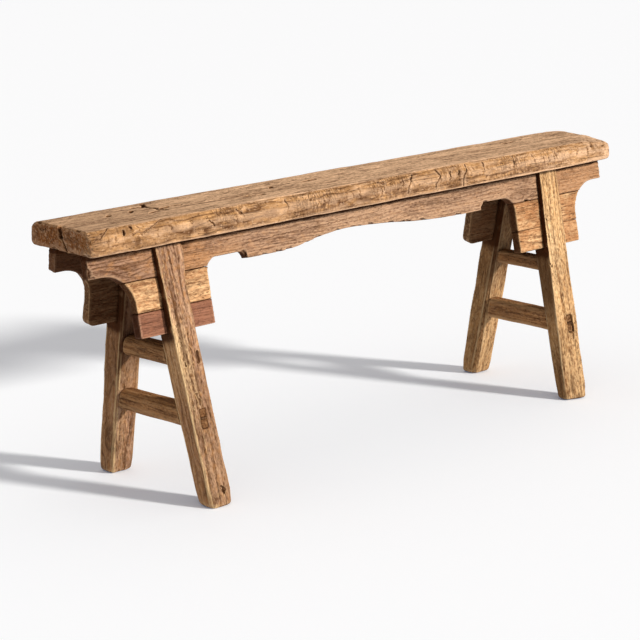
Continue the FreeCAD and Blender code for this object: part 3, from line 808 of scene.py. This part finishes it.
# the top is bleached, the front edge is waxed and dulled in patches, and the underside is painted dark as
# shade
along = seat.places[:, 0]
side_grain = 1 - seat.marks["endgrain"]
seat.marks["weather"] = smooth_step(upward, 0.7, 0.95)
seat.marks["polish_and_shade_warmth"] = smooth_step(upward, 0.2, 0.45) - smooth_step(upward, 0.65, 0.9)
seat.marks["polish_and_shade_warmth"] += 0.5 * front * (upward < 0.65) * (1 - smooth_step(along, -0.4, -0.1))
dulled = (1 - smooth_step(along, 0.2, 0.4)) * side_grain * (upward < 0.7)
dulled *= (1 + 0.5 * smooth_step(-along, 0.3, 0.5)) * smooth_step(upward, -0.3, -0.1)
dulled *= 2 * smooth_step(noise(seat.places, (24, 24, 11), 350), -0.4, 0.4)
stain = smooth_step(-along, 0.45, 0.6) * smooth_step(-seat.places[:, 2], -0.474, -0.462)
stain *= front * smooth_step(noise(seat.places, (22, 22, 12), 349), -0.3, 0.4) * side_grain
# the underside is darkened as painted shade; the dulled patches, the stain and the darker left of the top
# are the wood's own
seat.marks["inner"] = np.maximum.reduce([
    smooth_step(-upward, 0.5, 0.9),
    0.16 * dulled,
    0.45 * stain,
    0.36 * seat.marks["weather"] * smooth_step(-along, 0.25, 0.6),
])
crazed = smooth_step(noise(seat.places, (60, 60, 60), 91), -0.5, 0.3)
crazed *= smooth_step(upward, -0.2, 0.1) * (1 - smooth_step(upward, 0.75, 0.95))
seat.marks["crazed"] = crazed * side_grain * (0.3 + 0.7 * smooth_step(along, -0.52, -0.36))
figured = smooth_step(along, -0.53, -0.47) * (1 - smooth_step(along, -0.34, -0.26))
seat.marks["figured"] = 2 * front * figured
under = front * smooth_step(-upward, 0.2, 0.35) * (1 - smooth_step(-upward, 0.8, 0.95))
bare = 0.25 + 0.25 * smooth_step(along, -0.62, -0.5) + 0.2 * smooth_step(along, 0.3, 0.5)
bare = np.maximum(bare * (1 - 0.85 * brow), 0.9 * under)
seat.finish(seat_wood, bare)

# Studio
# A pale floor that runs out of sight, one lamp low in front and to the right, and a soft glow overhead.
# The camera stands where the photograph was taken from.

FLOOR_REACH = 30.0
floor_corners = [(x * FLOOR_REACH, y * FLOOR_REACH, 0) for x, y in ((-1, -1), (1, -1), (1, 1), (-1, 1))]
floor_mesh = bpy.data.meshes.new("floor")
floor_mesh.from_pydata(floor_corners, [], [(0, 1, 2, 3)])
floor = bpy.data.objects.new("floor", floor_mesh)
bpy.context.scene.collection.objects.link(floor)
pale_floor = bpy.data.materials.new("pale_floor")
pale_floor.use_nodes = True
floor_shader = pale_floor.node_tree.nodes["Principled BSDF"]
floor_shader.inputs["Base Color"].default_value = (0.90, 0.945, 0.995, 1)
floor_shader.inputs["Roughness"].default_value = 0.9
floor_shader.inputs["Emission Color"].default_value = (0.33, 0.5, 1.0, 1)
floor_shader.inputs["Emission Strength"].default_value = 0.09
floor_mesh.materials.append(pale_floor)

world = bpy.data.worlds.new("studio")
bpy.context.scene.world = world
world.use_nodes = True
sky = Wire(world.node_tree)
toward = sky.node("ShaderNodeTexCoord", {}, {}, "Generated")
overhead = sky.node("ShaderNodeSeparateXYZ", {}, {"Vector": toward}, "Z").within() ** 1.2
glow = sky.tint(overhead, (0.10, 0.075, 0.05, 1), (0.79, 0.74, 0.67, 1))
background = world.node_tree.nodes["Background"]
world.node_tree.links.new(glow.socket, background.inputs["Color"])

LAMP_FROM = Vector((0.38, -0.84, 0.38)).normalized()
lamp_data = bpy.data.lights.new("key_lamp", "SUN")
lamp_data.energy = 4.3
lamp_data.angle = math.radians(6)
lamp_data.color = (1.0, 0.95, 0.88)
lamp = bpy.data.objects.new("key_lamp", lamp_data)
lamp.rotation_mode = "QUATERNION"
lamp.rotation_quaternion = LAMP_FROM.to_track_quat("Z", "Y")
bpy.context.scene.collection.objects.link(lamp)

AZIMUTH = math.radians(-41.33)
ELEVATION = math.radians(13.88)
ROLL = math.radians(-1.36)
DISTANCE = 3.98174
TARGET = Vector((-0.07944, 0.009, 0.23364))
back = Vector((math.sin(AZIMUTH) * math.cos(ELEVATION), -math.cos(AZIMUTH) * math.cos(ELEVATION),
               math.sin(ELEVATION)))
level_right = Vector((math.cos(AZIMUTH), math.sin(AZIMUTH), 0))
level_up = back.cross(level_right)
right = level_right * math.cos(ROLL) + level_up * math.sin(ROLL)
up = level_up * math.cos(ROLL) - level_right * math.sin(ROLL)
lens = bpy.data.cameras.new("camera")
lens.sensor_width = 36
lens.lens = 119.58
lens.clip_end = 100
camera = bpy.data.objects.new("camera", lens)
aim = Matrix((right, up, back)).transposed().to_4x4()
camera.matrix_world = Matrix.Translation(TARGET + back * DISTANCE) @ aim
bpy.context.scene.collection.objects.link(camera)
bpy.context.scene.camera = camera
bpy.context.scene.view_settings.view_transform = "Standard"
